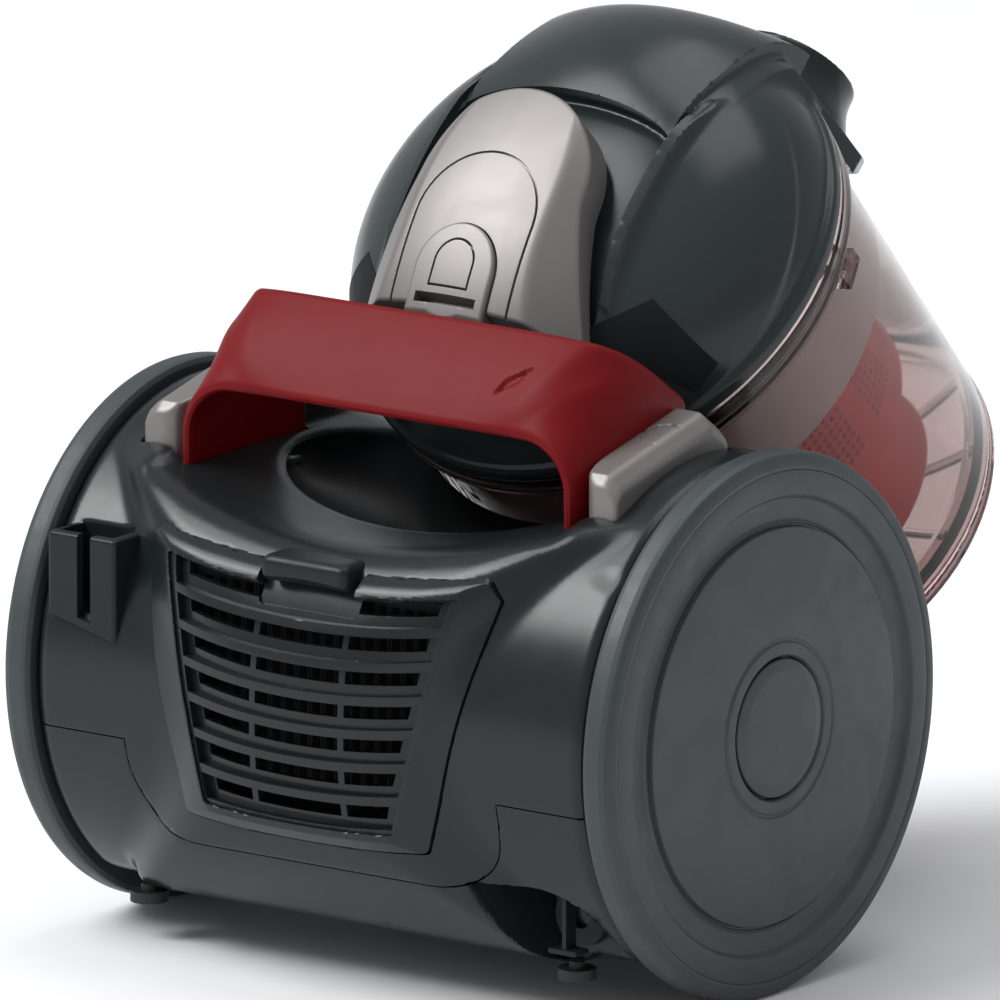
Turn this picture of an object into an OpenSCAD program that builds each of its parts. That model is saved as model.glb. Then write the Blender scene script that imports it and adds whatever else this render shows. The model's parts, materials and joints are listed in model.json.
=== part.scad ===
// Bagless canister vacuum cleaner, in millimetres.
// +X is the cleaner's right, +Y its front, +Z up. The origin is on the floor under the middle of its box.
// Most modules work from the wheel axle: Y = 0 at the axle and Z = 0 on the floor.
// The dust bin and its cap work in the bin's own frame, with Z along the tilted bin axis and Z = 0 at the cap seam.

/* [Wheels] */
// Radius of each rear wheel
wheel_r = 100; // [90:1:105]
// Distance from the middle of the cleaner to the inner face of each wheel
wheel_inner_x = 125.5; // [125:0.5:130]
// Width of the tread
tread_w = 12; // [10:0.5:14]
// Radius of the wheel axle pins
axle_r = 6; // [5:0.5:8]

/* [Body] */
// Radius of the barrel-shaped body about the wheel axle
barrel_r = 97; // [90:1:97]
// Half the width of the body
barrel_half = 124; // [118:1:124]
// Wall thickness of the shells
wall = 2.5; // [2:0.1:3]
// Height of the underside above the floor
under_z = 18; // [14:1:22]
// Height of the seam between the upper and lower shells
seam_z = 82; // [78:1:84]
// Height of the top of the nose
nose_top_z = 50; // [46:1:50]

/* [Dust bin] */
// Tilt of the bin's axis from upright
bin_tilt = 45; // [43:1:47]
// Forward distance from the axle to the middle of the cap seam
seam_y = 78; // [76:1:80]
// Height of the middle of the cap seam
cap_z = 240; // [238:1:242]
// Outer radius of the bin at its top
bin_top_r = 91.6; // [90:0.2:91.6]
// Outer radius of the bin at its foot
bin_foot_r = 83.6; // [80:0.2:83.6]
// Length of the bin below the seam
bin_len = 158; // [150:1:158]

/* [Hose port] */
// Bore radius of the hose port
port_bore_r = 19.5; // [17:0.5:20]
// Reach of the port's mouth from the bin's axis
port_reach = 120; // [116:1:124]

/* [Controls] */
// Travel of each foot pedal
pedal_travel = 4; // [3:0.5:4]
// Travel of the bin's release button
button_travel = 2.5; // [2:0.5:3]

/* [Hidden] */
$fn = 96;

body_grey = [0.23, 0.25, 0.26];
disc_grey = [0.30, 0.32, 0.33];
handle_red = [0.55, 0.12, 0.15];
silver = [0.62, 0.60, 0.59];
smoke = [0.55, 0.45, 0.44];
cyclone_red = [0.75, 0.18, 0.2];
steel = [0.7, 0.7, 0.72];
rubber_black = [0.08, 0.08, 0.08];

origin_y = -77;      // the axle's place in the part's frame, which centres the whole box on Y = 0
axle_z = wheel_r;
fit = 0.06;          // radial clearance of a running fit
gap = 0.6;           // visible gap between covers
far = 600;

bulge_r = 104;       // rear bulge about a line just behind the axle
bulge_y = -3;
bulge_half = 88;
plan_r = 150;        // plan curve of the rear bulge
plan_y = 43;
deck_r = 250;        // saddle-shaped deck under the handle
deck_z = 163;
deck_half = 88;
apron_half = 84;     // the upper shell hangs down over the lower one at the rear, as an apron
apron_y = -60;
apron_foot_z = 47;
apron_corner = 26;
front_y = 90;        // rear limit of the front cover
front_seam_z = 34;

caster_y = 165;
caster_r = 15;
caster_trail = 9;
well_r = 27;
well_z = 41;

bay = [68, -58, 20.5, 50];   // inner X, front Y, floor Z and roof Z of the open bay at the right rear
bay_outer_x = 118;
foot_x = 97;
reel_y = -6;
reel_z = 92;
reel_r = 60;
spindle_r = 5;
motor_y = -12;
motor_z = 74;
motor_r = 46;

pedal_x = [89.3, 107];
pedal_y = [-54.5, 14];
pedal_foot_z = 174;
shelf_z = 157;
brake_y = -25;
brake_z = 158;
post_spots = [[-90, 64], [90, 64], [-72, -55], [56, -52]];
bin_gap = 1.5;
dome_r = 94.5;
dome_h = 60;
grip_r = 118;
grip_h = 78;
port_w = -49;
saddle_half = 30;    // saddle at the front of the cap, which carries the hose port
saddle_v = 97;
shield_half = 64;    // wider shield round the saddle
shield_r = 98.5;
flange_r = 96.5;     // flange at the top of the bin, with a notch that lets the shield through
notch_r = 94;
handle_screw_y = [-40, 0];
handle_screw_z = 169;

module from_axle() {
    translate([0, origin_y, 0]) children();
}

module in_bin() {
    translate([0, origin_y + seam_y, cap_z]) rotate([bin_tilt, 0, 0]) children();
}

// A cylinder lying along X, from x0 to x1, about the line at y, z
module bar_x(r, x0, x1, y, z) {
    translate([x0, y, z]) rotate([0, 90, 0]) cylinder(r = r, h = x1 - x0);
}

// A side outline of [y, z] points, stretched along X
module side_plate(points, x0, x1) {
    translate([x0, 0, 0]) rotate([90, 0, 90]) linear_extrude(x1 - x0) polygon(points);
}

module both_sides() {
    children();
    mirror([1, 0, 0]) children();
}

// ---------- body ----------

module barrel(g) {
    bar_x(barrel_r - g, -barrel_half + g, barrel_half - g, 0, axle_z);
}

module rear_bulge(g) {
    intersection() {
        bar_x(bulge_r - g, -bulge_half + g, bulge_half - g, bulge_y, axle_z);
        translate([0, plan_y, 0]) cylinder(r = plan_r - g, h = far, $fn = 180);
        translate([-far / 2, -far, 0]) cube([far, far, far]);
    }
}

module nose(g) {
    linear_extrude(nose_top_z - g) {
        translate([0, caster_y]) circle(r = 48 - g);
        polygon([[-92 + g, 60], [92 - g, 60], [46 - g, caster_y], [-46 + g, caster_y]]);
    }
}

// The space that the bin and its flange take up, with their clearance
module bin_space(g) {
    translate([0, seam_y, cap_z]) rotate([bin_tilt, 0, 0]) {
        translate([0, 0, -168 - g]) cylinder(r1 = bin_foot_r + bin_gap + g, r2 = bin_top_r + bin_gap + g, h = 155 + g);
        translate([0, 0, -13 - g]) cylinder(r = 98.5 + g, h = 120 + g);
    }
}

module deck_space(g) {
    intersection() {
        translate([0, 0, deck_z + deck_r]) rotate([90, 0, 0]) cylinder(r = deck_r + g, h = far, center = true, $fn = 240);
        translate([-deck_half - g, -far / 2, deck_z - 10]) cube([2 * deck_half + 2 * g, far, 100]);
    }
}

// The whole body's outer form, shrunk by g all round
module body_form(g) {
    difference() {
        union() {
            barrel(g);
            rear_bulge(g);
            nose(g);
        }
        translate([-far / 2, -far / 2, -1]) cube([far, far, under_z + g + 1]);
        bin_space(g);
        deck_space(g);
        translate([0, caster_y, 0]) cylinder(r = well_r + g, h = well_z + g);
        translate([bay[0] - g, -far, bay[2] - g])
            cube([bay_outer_x - bay[0] + 2 * g, far + bay[1] + g, bay[3] - bay[2] + 2 * g]);
    }
}

module body_skin() {
    difference() {
        body_form(0);
        body_form(wall);
    }
}

// The part of the rear wall that belongs to the upper shell, below the seam
module apron_zone() {
    translate([0, apron_y, 0]) rotate([90, 0, 0]) linear_extrude(far) {
        translate([-apron_half, apron_foot_z + apron_corner]) square([2 * apron_half, far]);
        for (s = [-1, 1]) translate([s * (apron_half - apron_corner), apron_foot_z + apron_corner]) circle(r = apron_corner);
        translate([-apron_half + apron_corner, apron_foot_z]) square([2 * (apron_half - apron_corner), far]);
    }
}

module front_zone() {
    difference() {
        translate([-far / 2, front_y, front_seam_z]) cube([far, far, nose_top_z + 5 - front_seam_z]);
        translate([0, caster_y, 0]) cylinder(r = well_r + wall + 0.2, h = well_z + wall + 0.2);
    }
}

module screw_posts(z0, z1, bore) {
    intersection() {
        body_form(1);
        for (spot = post_spots)
            translate([spot[0], spot[1], z0]) difference() {
                cylinder(r = 5, h = z1 - z0);
                translate([0, 0, -1]) cylinder(r = bore, h = z1 - z0 + 2);
            }
    }
}

module lower_shell() {
    color(body_grey) from_axle() {
        difference() {
            intersection() {
                body_skin();
                translate([-far / 2, -far / 2, 0]) cube([far, far, seam_z]);
            }
            apron_zone();
            front_zone();
            both_sides() bar_x(axle_r, 118, 130, 0, axle_z);
            both_sides() translate([foot_x, -64, 0]) cylinder(r = 3, h = under_z + wall + 0.1);
            translate([0, caster_y, well_z - 1]) cylinder(r = 4 + fit, h = 6);
            translate([96, bay[1] - 5, 36]) rotate([-90, 0, 0]) cylinder(r = 8, h = 12);
        }
        screw_posts(under_z, seam_z, 1.8);
        difference() {
            translate([0, caster_y, well_z + 0.1]) cylinder(r = 9, h = 6);
            translate([0, caster_y, well_z - 1]) cylinder(r = 4 + fit, h = 6);
        }
        for (x = [-50, 22])
            difference() {
                translate([x, motor_y - 30, under_z + 1]) cube([4, 60, 30]);
                bar_x(motor_r, x - 1, x + 5, motor_y, motor_z);
            }
    }
}

module pedal_slot() {
    translate([84.2, pedal_y[0] - gap, 160]) cube([pedal_x[1] + gap - 84.2, pedal_y[1] - pedal_y[0] + 2 * gap, 60]);
}

module upper_shell() {
    color(body_grey) from_axle() {
        difference() {
            intersection() {
                body_skin();
                union() {
                    translate([-far / 2, -far / 2, seam_z]) cube([far, far, far]);
                    apron_zone();
                }
            }
            vent_prism(-gap);
            both_sides() pedal_slot();
            both_sides() bar_x(axle_r, 118, 130, 0, axle_z);
        }
        screw_posts(seam_z, 200, 1.5);
        // shelves for the pedal springs
        both_sides() translate([90, -6, shelf_z - 3]) cube([barrel_half - 91, 20, 3]);
        // blocks that hold the handle's screws
        both_sides() for (y = handle_screw_y)
            difference() {
                translate([74, y - 5, deck_z + 1]) cube([10, 10, 9.5]);
                bar_x(1.6, 73, 85, y, handle_screw_z);
            }
        // bracket on the side wall that holds the brake's pin
        difference() {
            translate([101.6, brake_y - 5, brake_z - 5]) cube([barrel_half - wall - 101, 10, 10]);
            bar_x(2, 100, 112, brake_y, brake_z);
        }
    }
}

module front_cover() {
    color(body_grey) from_axle() intersection() {
        body_skin();
        front_zone();
    }
}

module vent_outline(g) {
    polygon([[-72 + g, 164 - g], [72 - g, 164 - g], [79 - g, 154], [54.5 - g, 60 + g], [-54.5 + g, 60 + g], [-79 + g, 154]]);
}

module vent_prism(g) {
    translate([0, -50, 0]) rotate([90, 0, 0]) linear_extrude(80) vent_outline(g);
}

module exhaust_cover() {
    row_z = [for (i = [0 : 6]) 70 + i * 12.3];
    color(body_grey) from_axle() difference() {
        intersection() {
            vent_prism(0);
            difference() {
                intersection() {
                    bar_x(bulge_r + 2.5, -90, 90, bulge_y, axle_z);
                    translate([0, plan_y, 0]) cylinder(r = plan_r + 2.5, h = far, $fn = 180);
                }
                intersection() {
                    bar_x(bulge_r - 1.5, -91, 91, bulge_y, axle_z);
                    translate([0, plan_y, -1]) cylinder(r = plan_r - 1.5, h = far + 2, $fn = 180);
                }
            }
            translate([-100, -150, 0]) cube([200, 110, 200]);
        }
        for (z = row_z, side = [-1, 0, 1])
            let (span = (41 + (z - 60) * 0.2) * 2 / 3)
                translate([side * (span + 2) - span / 2, -130, z]) cube([span, 60, 5]);
        translate([-22, -130, 142]) cube([44, 60, 30]);
    }
}

module cover_latch() {
    color(body_grey) from_axle() translate([-20, -96, 146]) difference() {
        cube([40, 12, 14]);
        translate([-1, 3, -1]) cube([42, 10, 12]);
    }
}

module parking_socket() {
    color(body_grey) from_axle() difference() {
        translate([-118, -97, 119]) cube([31, 18, 34]);
        bar_x(barrel_r, -130, -80, 0, axle_z);
        intersection() {
            bar_x(bulge_r, -bulge_half, 0, bulge_y, axle_z);
            translate([0, plan_y, 0]) cylinder(r = plan_r, h = far, $fn = 180);
        }
        difference() {
            union() {
                translate([-115, -94.5, 121]) cube([25, 20, 40]);
                translate([-105.5, -100, 118]) cube([8, 20, 40]);
            }
            bar_x(barrel_r + 1.5, -130, -80, 0, axle_z);
        }
    }
}

module exhaust_filter_frame() {
    color(rubber_black) from_axle() difference() {
        translate([-58, -88, 66]) cube([116, 15, 84]);
        translate([-54, -90, 70]) cube([108, 20, 76]);
    }
}

module exhaust_filter_pleats() {
    pitch = 6;
    color("white") from_axle() for (i = [0 : 17])
        translate([-54 + i * pitch, -87, 70]) linear_extrude(76)
            polygon([[0.2, 0], [1.2, 0], [3, 11.5], [4.8, 0], [5.8, 0], [3.6, 13], [2.4, 13]]);
}

module rear_feet() {
    color(rubber_black) from_axle() both_sides() translate([foot_x, -64, under_z - 4]) {
        cylinder(r = 7, h = 4);
        cylinder(r = 3, h = 4 + wall);
    }
}

// ---------- motor, reel and electrics ----------

module motor_housing() {
    color(body_grey) from_axle() difference() {
        bar_x(motor_r, -64, 34, motor_y, motor_z);
        bar_x(motor_r - 3, -61, 35, motor_y, motor_z);
        bar_x(18, -65, -60, motor_y, motor_z);
    }
}

module motor_can() {
    color(steel) from_axle() {
        difference() {
            union() {
                bar_x(36, -30, 26, motor_y, motor_z);
                bar_x(motor_r - 3, -30, -26, motor_y, motor_z);
                bar_x(12, 26, 34, motor_y, motor_z);
            }
            bar_x(4 + fit, -31, 36, motor_y, motor_z);
        }
    }
}

module motor_inlet_seal() {
    color(rubber_black) from_axle() difference() {
        bar_x(24, -70, -64, motor_y, motor_z);
        bar_x(17, -71, -63, motor_y, motor_z);
    }
}

module motor_shaft() {
    color(steel) from_axle() bar_x(4, -58, 38, motor_y, motor_z);
}

module motor_fan() {
    color(steel) from_axle() {
        difference() {
            union() {
                bar_x(40, -40, -38.5, motor_y, motor_z);
                bar_x(9, -52, -40, motor_y, motor_z);
            }
            bar_x(4, -60, -30, motor_y, motor_z);
        }
        difference() {
            bar_x(40, -53, -51.5, motor_y, motor_z);
            bar_x(16, -60, -50, motor_y, motor_z);
        }
        translate([0, motor_y, motor_z]) rotate([0, 90, 0]) for (i = [0 : 8])
            rotate([0, 0, i * 40]) translate([8, -0.75, -52]) rotate([0, 0, 18]) cube([29, 1.5, 12.5]);
    }
}

module reel_spindle() {
    color(steel) from_axle() bar_x(spindle_r, 58, barrel_half - wall, reel_y, reel_z);
}

module cord_reel() {
    color([0.35, 0.36, 0.37]) from_axle() difference() {
        union() {
            bar_x(reel_r, 64, 66.5, reel_y, reel_z);
            bar_x(27, 66.5, 109.5, reel_y, reel_z);
            bar_x(reel_r, 109.5, 112, reel_y, reel_z);
        }
        bar_x(24, 68.5, 107.5, reel_y, reel_z);
        bar_x(spindle_r + fit, 60, 115, reel_y, reel_z);
    }
}

module reel_spring_case() {
    color([0.35, 0.36, 0.37]) from_axle() difference() {
        bar_x(34, 113, barrel_half - wall, reel_y, reel_z);
        bar_x(31, 112, 119.5, reel_y, reel_z);
        bar_x(spindle_r, 112, 125, reel_y, reel_z);
        bar_x(axle_r + 4, 112, 125, 0, axle_z);
    }
}

module brake_pin() {
    color(steel) from_axle() bar_x(2, 91, 112, brake_y, brake_z);
}

module brake_arm() {
    color([0.8, 0.8, 0.78]) from_axle() difference() {
        union() {
            side_plate([[-50, 156], [-50, 161], [-25, 162], [-10, 157.5], [-9, 152.6], [-15, 152.4], [-25, 154]], 93, 99);
            bar_x(4, 93, 99, brake_y, brake_z);
        }
        bar_x(2 + fit, 92, 100, brake_y, brake_z);
    }
}

module cord_outlet() {
    color(rubber_black) from_axle() translate([96, bay[1], 36]) rotate([-90, 0, 0]) difference() {
        union() {
            translate([0, 0, -3]) cylinder(r = 11, h = 3);
            cylinder(r = 8, h = wall + 3);
        }
        translate([0, 0, -4]) cylinder(r = 4.5, h = wall + 8);
    }
}

module control_board() {
    color([0.1, 0.35, 0.2]) from_axle() {
        translate([-104, -38, 62]) cube([1.6, 76, 58]);
        for (y = [-32, 32], z = [68, 114])
            bar_x(2.5, -barrel_half + wall, -104, y, z);
        translate([-102.4, -20, 80]) cube([16, 22, 14]);
        bar_x(7, -102.4, -78, 22, 100);
    }
}

module power_switch() {
    color([0.12, 0.12, 0.13]) from_axle() {
        translate([-barrel_half + wall, -54, 138]) cube([32.5, 18, 20]);
        translate([-101, -50, 158]) cube([6, 8, 5]);
    }
}

// ---------- controls on top ----------

module carry_handle() {
    band = 3.5;
    leg = [[-54.5, 165], [-54.5, 209], [-29, 236], [-5, 228], [12, 212], [12, 165]];
    strip = [[-54.5, 209], [-29, 236], [-26.5, 233.6], [-52, 206.6]];
    color(handle_red) from_axle() difference() {
        intersection() {
            union() {
                side_plate(strip, -88, 88);
                both_sides() side_plate(leg, 88 - band, 88);
            }
            // rounded upper corners
            translate([0, 100, 0]) rotate([90, 0, 0]) linear_extrude(far) union() {
                translate([-88, 100]) square([176, 112]);
                for (s = [-1, 1]) translate([s * 64, 212]) circle(r = 24);
                translate([-64, 200]) square([128, 36]);
            }
        }
        both_sides() for (y = handle_screw_y) bar_x(1.6, 83, 90, y, handle_screw_z);
    }
}

module handle_screws() {
    color(steel) from_axle() both_sides() for (y = handle_screw_y)
        bar_x(1.6, 76, 88, y, handle_screw_z);
}

module shell_screws() {
    color(steel) from_axle() for (spot = post_spots)
        translate([spot[0], spot[1], spot[1] > 60 ? 40 : 36]) cylinder(r = 1.5, h = 62);
}

// The pedal on the right; the left one is its mirror image
module pedal(stem_y, stem_foot) {
    outline = [[-54.5, pedal_foot_z], [-54.5, 193], [-50, 197.5], [-6, 208], [6, 210], [14, 203], [14, pedal_foot_z]];
    side_plate(outline, pedal_x[0], pedal_x[1]);
    translate([98, stem_y, stem_foot]) cylinder(r = 2.5, h = pedal_foot_z - stem_foot + 1);
}

module rewind_pedal() {
    color(silver) from_axle() pedal(-46, 162.2);
}

module power_pedal() {
    color(silver) from_axle() mirror([1, 0, 0]) pedal(-46, 167.6);
}

module pedal_spring() {
    translate([98, 4, shelf_z]) difference() {
        cylinder(r = 6, h = pedal_foot_z - shelf_z);
        translate([0, 0, -1]) cylinder(r = 4.8, h = 40);
    }
}

module rewind_pedal_spring() {
    color(steel) from_axle() pedal_spring();
}

module power_pedal_spring() {
    color(steel) from_axle() mirror([1, 0, 0]) pedal_spring();
}

// ---------- wheels ----------

module about_axle() {
    translate([0, 0, axle_z]) rotate([0, 90, 0]) rotate_extrude($fn = 180) children();
}

// Section of the wheel disc: [radius, distance from the middle plane]
module wheel_section() {
    x0 = wheel_inner_x;
    polygon([[axle_r + fit, 128.5], [14, 128.5], [14, x0], [16, x0], [20, 130.5], [80, 130.5], [86, x0 + 0.5],
        [93.4, x0 + 0.5], [93.4, 136.6], [85, 137], [83.5, 134.5], [74, 134.5], [73, 137.2], [50, 138.8],
        [32, 139.6], [25.8, 139.6], [25.8, 136.5], [14, 136.5], [14, 132.5], [axle_r + fit, 132.5]]);
}

module wheel_right() {
    about_axle() wheel_section();
}

module tyre_right() {
    x0 = wheel_inner_x - 0.5;
    about_axle() polygon([[93.4, x0], [wheel_r - 2, x0], [wheel_r, x0 + 2], [wheel_r, x0 + tread_w - 4],
        [wheel_r - 1.4, x0 + tread_w - 1], [wheel_r - 4.5, x0 + tread_w], [93.4, x0 + tread_w]]);
}

module hub_cap_right() {
    about_axle() polygon([[0, 136.5], [25.4, 136.5], [25.4, 140], [18, 140.8], [0, 141.2]]);
}

module right_wheel() {
    color(disc_grey) from_axle() wheel_right();
}

module left_wheel() {
    color(disc_grey) from_axle() mirror([1, 0, 0]) wheel_right();
}

module right_tyre() {
    color(body_grey) from_axle() tyre_right();
}

module left_tyre() {
    color(body_grey) from_axle() mirror([1, 0, 0]) tyre_right();
}

module right_hub_cap() {
    color(disc_grey) from_axle() hub_cap_right();
}

module left_hub_cap() {
    color(disc_grey) from_axle() mirror([1, 0, 0]) hub_cap_right();
}

module axle_pins() {
    color(steel) from_axle() both_sides() bar_x(axle_r, barrel_half - wall, 135, 0, axle_z);
}

module axle_clips() {
    color(steel) from_axle() both_sides() difference() {
        bar_x(10, 132.8, 134, 0, axle_z);
        bar_x(axle_r, 132, 135, 0, axle_z);
    }
}

module caster_fork() {
    color([0.2, 0.21, 0.22]) from_axle() translate([0, caster_y, 0]) {
        translate([0, 0, 36]) cylinder(r = 4, h = well_z + 3 - 36);
        translate([0, 0, 34]) cylinder(r = 20, h = 4);
        both_sides() difference() {
            side_plate([[-16, 9], [-2, 9], [8, 34.5], [-14, 34.5]], 8.6, 12);
            bar_x(2.5, 8, 13, -caster_trail, caster_r);
        }
    }
}

module caster_axle() {
    color(steel) from_axle() bar_x(2.5, -12, 12, caster_y - caster_trail, caster_r);
}

module caster_wheel() {
    color(rubber_black) from_axle() translate([0, caster_y - caster_trail, caster_r]) rotate([0, 90, 0])
        rotate_extrude() polygon([[2.5 + fit, -8], [13, -8], [caster_r, -6], [caster_r, 6], [13, 8], [2.5 + fit, 8]]);
}

// ---------- dust bin ----------

module bin_inlet(r) {
    translate([0, 60, port_w]) rotate([-90, 0, 0]) cylinder(r = r, h = 50);
}

module bin_vessel() {
    foot = -bin_len;
    color(smoke) in_bin() {
        difference() {
            rotate_extrude($fn = 180) polygon([[bin_foot_r - 2, foot], [bin_foot_r, foot], [bin_top_r, -11.5],
                [flange_r, -10.5], [flange_r, -1.5], [flange_r - 2, -1.5], [flange_r - 2, -8.5], [bin_top_r - 2, -9.5]]);
            bin_inlet(23);
            difference() {
                translate([-shield_half - 2, 0, -20]) cube([2 * shield_half + 4, 120, 30]);
                cylinder(r = notch_r, h = 60, center = true);
            }
        }
        // ears that hold the lid's hinge pin
        both_sides() difference() {
            translate([20, -90, -164.5]) cube([5, 14, 12]);
            bar_x(1.5, 19, 26, -87.5, -162);
            cylinder(r = bin_foot_r - 1, h = 400, center = true);
            translate([0, 0, -200]) cylinder(r = bin_foot_r + 0.6, h = 200 + foot);
        }
        // ears that carry the latch
        both_sides() difference() {
            translate([10, 82, -142]) cube([4, 10, 10]);
            bar_x(1.5, 9, 15, 89, -137);
            cylinder(r = bin_foot_r + 0.4, h = 400, center = true);
        }
    }
}

module lid_hinge_pin() {
    color(steel) in_bin() bar_x(1.5, -25, 25, -87.5, -162);
}

module bin_lid() {
    color(smoke) in_bin() {
        rotate_extrude($fn = 180) polygon([[0, -160.8], [70, -160.8], [70, -153], [71.6, -153], [71.6, -160.8],
            [74.2, -160.8], [74.2, -158.6], [bin_foot_r, -158.6], [bin_foot_r, -162.8], [72, -163.2], [0, -163.2]]);
        difference() {
            translate([-19.4, -91, -163.6]) cube([38.8, 12, 3.2]);
            cylinder(r = bin_foot_r - 1, h = 400, center = true);
            bar_x(1.5 + fit, -30, 30, -87.5, -162);
        }
        translate([0, 0, -161]) cylinder(r = 13, h = 4);
        for (a = [0 : 30 : 330]) rotate([0, 0, a]) translate([12, -0.9, -161]) cube([58.8, 1.8, 4]);
    }
}

module lid_seal() {
    color(rubber_black) in_bin() rotate_extrude($fn = 180)
        polygon([[74.6, -158.6], [78.6, -158.6], [78.6, -156.4], [74.6, -156.4]]);
}

module lid_latch() {
    color(smoke) in_bin() {
        bar_x(1.5 - fit, -14, 14, 89, -137);
        translate([-8, 87.2, -165.5]) cube([16, 3.4, 38]);
        translate([-8, 87.2, -165.5]) cube([16, 9.8, 3.4]);
    }
}

module bin_seal() {
    color(rubber_black) in_bin() rotate_extrude($fn = 180)
        polygon([[90.4, -8.2], [93.6, -8.2], [93.6, -4.5], [90.4, -4.5]]);
}

module cyclone_band() {
    top = bin_top_r - 2.3;
    color([0.35, 0.33, 0.33]) in_bin() difference() {
        rotate_extrude($fn = 180) polygon([[top, -12], [top - 2.2, -52], [top - 3.7, -52], [top - 1.5, -12]]);
        bin_inlet(23);
    }
}

module cyclone_shroud() {
    color(cyclone_red) in_bin() difference() {
        rotate_extrude($fn = 180) polygon([[24.5, -6], [66, -6], [66, -112], [43, -112], [43, -110.2], [64.2, -110.2],
            [64.2, -8], [24.5, -8]]);
        for (a = [0 : 30 : 330], w = [-102, -84])
            rotate([0, 0, a]) translate([60, -5, w]) cube([10, 10, 14]);
    }
}

// Skirt that flares out below the shroud and keeps the dust down
module lower_cone() {
    color(cyclone_red) in_bin() rotate_extrude($fn = 180)
        polygon([[28.5, -92], [30.5, -92], [42.6, -111], [42.6, -112.4], [64, -150], [64, -152], [62, -152], [40.4, -112.4]]);
}

module vortex_tube() {
    color([0.35, 0.33, 0.33]) in_bin() rotate_extrude() polygon([[22, -90], [24.3, -90], [24.3, -4], [22, -4]]);
}

// ---------- cap ----------

// Quarter of an ellipse as a revolved solid
module dome(r, h) {
    rotate_extrude($fn = 180) polygon(concat([[0, 0]], [for (a = [0 : 6 : 90]) [r * cos(a), h * sin(a)]]));
}

module hood_outline() {
    polygon([[28, 50], [32, 59], [60, 54], [80, 43], [92, 31], [saddle_v, 18], [saddle_v, -55], [88, -77], [60, -77], [60, 30]]);
}

module bin_cap() {
    color(body_grey) in_bin() difference() {
        union() {
            dome(dome_r, dome_h);
            cylinder(r = 96.8, h = 5);
            // hood, the saddle that carries the hose port, and the shield round it
            rotate([90, 0, 90]) translate([0, 0, -saddle_half]) linear_extrude(2 * saddle_half) hood_outline();
            intersection() {
                translate([0, 0, -30]) cylinder(r = shield_r, h = 50);
                translate([-shield_half, 40, -50]) cube([2 * shield_half, saddle_v - 40, 100]);
            }
        }
        translate([0, 0, -0.5]) dome(dome_r - 3, dome_h - 3);
        translate([0, 0, -200]) cylinder(r = notch_r + 0.3, h = 200);
        translate([0, 0, -0.1]) cylinder(r = 93, h = 1.6);
        translate([0, 80, port_w]) rotate([-90, 0, 0]) cylinder(r = 21.5, h = 60);
    }
}

module grip_outline(g) {
    polygon([[-50 + g, -66 + g], [50 - g, -66 + g], [36 - g, -14], [-36 + g, -14]]);
    translate([0, -14]) circle(r = 36.4 - g);
}

module button_outline(g) {
    translate([0, -54]) circle(r = 17.5 + g);
    translate([-17.5 - g, -70 - g]) square([35 + 2 * g, 16 + g]);
}

module cap_grip() {
    color(silver) in_bin() difference() {
        intersection() {
            dome(grip_r, grip_h);
            linear_extrude(100) grip_outline(0);
            translate([-80, -66, 0]) cube([160, 160, 100]);
        }
        dome(dome_r, dome_h);
        difference() {
            linear_extrude(100) button_outline(0.4);
            dome(grip_r - 9, grip_h - 9);
        }
    }
}

module release_button() {
    color(silver) in_bin() intersection() {
        difference() {
            dome(grip_r + 0.8, grip_h + 0.8);
            dome(grip_r - 4.5, grip_h - 4.5);
        }
        linear_extrude(100) button_outline(0);
    }
}

module button_spring() {
    color(steel) in_bin() intersection() {
        difference() {
            dome(grip_r - 8.2, grip_h - 8.2);
            dome(grip_r - 9, grip_h - 9);
        }
        translate([-4, -66, 0]) cube([8, 22, 100]);
    }
}

module hose_port() {
    color(body_grey) in_bin() translate([0, 0, port_w]) rotate([-90, 0, 0]) difference() {
        rotate_extrude() polygon([[0, notch_r + 0.6], [21.3, notch_r + 0.6], [21.3, saddle_v + 0.3], [30, saddle_v + 0.3], [29, 102],
            [26.5, 109], [25, 115], [24.3, port_reach], [0, port_reach]]);
        translate([0, 0, 90]) cylinder(r = port_bore_r, h = 60);
    }
}

module filter_cage() {
    color([0.35, 0.33, 0.33]) in_bin() difference() {
        rotate_extrude() polygon([[0, 4], [72, 4], [72, 26], [70, 26], [70, 6.5], [0, 6.5]]);
        for (a = [0 : 45 : 315]) rotate([0, 0, a]) translate([45, 0, 3]) cylinder(r = 12, h = 5);
        translate([0, 0, 3]) cylinder(r = 20, h = 5);
    }
}

module filter_foam() {
    color([0.9, 0.9, 0.85]) in_bin() translate([0, 0, 6.5]) cylinder(r = 69.6, h = 18);
}

lower_shell();
upper_shell();
front_cover();
parking_socket();
exhaust_filter_frame();
exhaust_filter_pleats();
motor_housing();
motor_can();
motor_inlet_seal();
reel_spindle();
reel_spring_case();
cord_outlet();
control_board();
power_switch();
carry_handle();
handle_screws();
shell_screws();
axle_pins();
axle_clips();
power_pedal_spring();
rewind_pedal_spring();
rear_feet();
brake_pin();
exhaust_cover();
cover_latch();
motor_shaft();
motor_fan();
cord_reel();
brake_arm();
power_pedal();
rewind_pedal();
left_wheel();
left_tyre();
left_hub_cap();
right_wheel();
right_tyre();
right_hub_cap();
caster_fork();
caster_axle();
caster_wheel();
bin_vessel();
bin_seal();
cyclone_band();
cyclone_shroud();
lower_cone();
vortex_tube();
lid_hinge_pin();
bin_lid();
lid_seal();
lid_latch();
bin_cap();
cap_grip();
hose_port();
filter_cage();
filter_foam();
button_spring();
release_button();
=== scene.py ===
"""Looks of a bagless canister vacuum cleaner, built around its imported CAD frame.

Shapes are worked out in millimetres and turned into metres when a piece is made.
Body pieces use the axle frame: +X right, +Y front, +Z up, Y = 0 at the wheel axle, Z = 0 on the floor.
Bin pieces use the bin frame: x, v and w, with w along the tilted bin axis and w = 0 at the cap seam.
"""

import json
import math

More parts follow.
